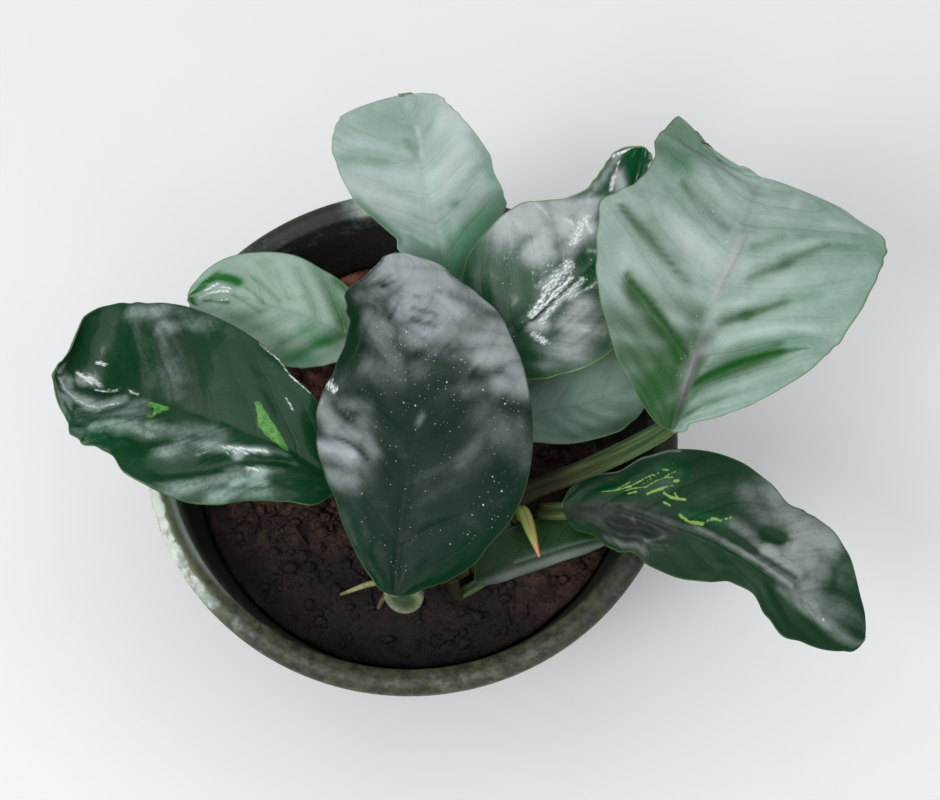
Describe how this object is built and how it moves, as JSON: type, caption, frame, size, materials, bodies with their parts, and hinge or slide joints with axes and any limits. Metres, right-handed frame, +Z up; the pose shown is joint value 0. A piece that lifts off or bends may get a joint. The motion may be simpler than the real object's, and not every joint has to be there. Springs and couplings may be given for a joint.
{
  "type": "potted anubias",
  "caption": "Anubias plant with broad, glossy, veined leaves on grooved stalks, rising from a creeping rhizome in lumpy growing medium, in a round plastic pot with a rolled, weathered rim.",
  "frame": {"origin": "centre of the pot's flat underside, where it stands", "axes": "+Z up along the pot's axis; +X to the right and +Y to the far side as the picture shows the plant"},
  "size_m": [0.1476, 0.1022, 0.1207],
  "materials": {
    "pot": "weathered pale grey with algae film on the rim, dark grey inside",
    "soil": "damp, dark brown, crumbly",
    "rhizome": "green-brown, ringed with leaf scars",
    "leaf": "waxy, glossy dark green with pale margin and pressed-in side veins",
    "stalk": "waxy green, lightly grooved",
    "new_leaf": "yellow-green, satin",
    "root": "yellow-green to brown, satin"
  },
  "bodies": {
    "root": {"pot": "pot", "soil": "soil", "rhizome": "rhizome", "leaf_centre": "leaf", "leaf_right": "leaf", "leaf_left": "leaf", "leaf_back_left": "leaf", "leaf_back": "leaf", "leaf_back_right": "leaf", "leaf_under": "leaf", "leaf_right_low": "leaf", "leaf_front_low": "leaf", "stem_centre": "stalk", "stem_right": "stalk", "stem_left": "stalk", "stem_back_left": "stalk", "stem_back": "stalk", "stem_back_right": "stalk", "stem_under": "stalk", "stem_right_low": "stalk", "stem_front_low": "stalk", "new_leaf": "new_leaf", "root_left": "root", "root_front": "root"}
  },
  "joints": []
}
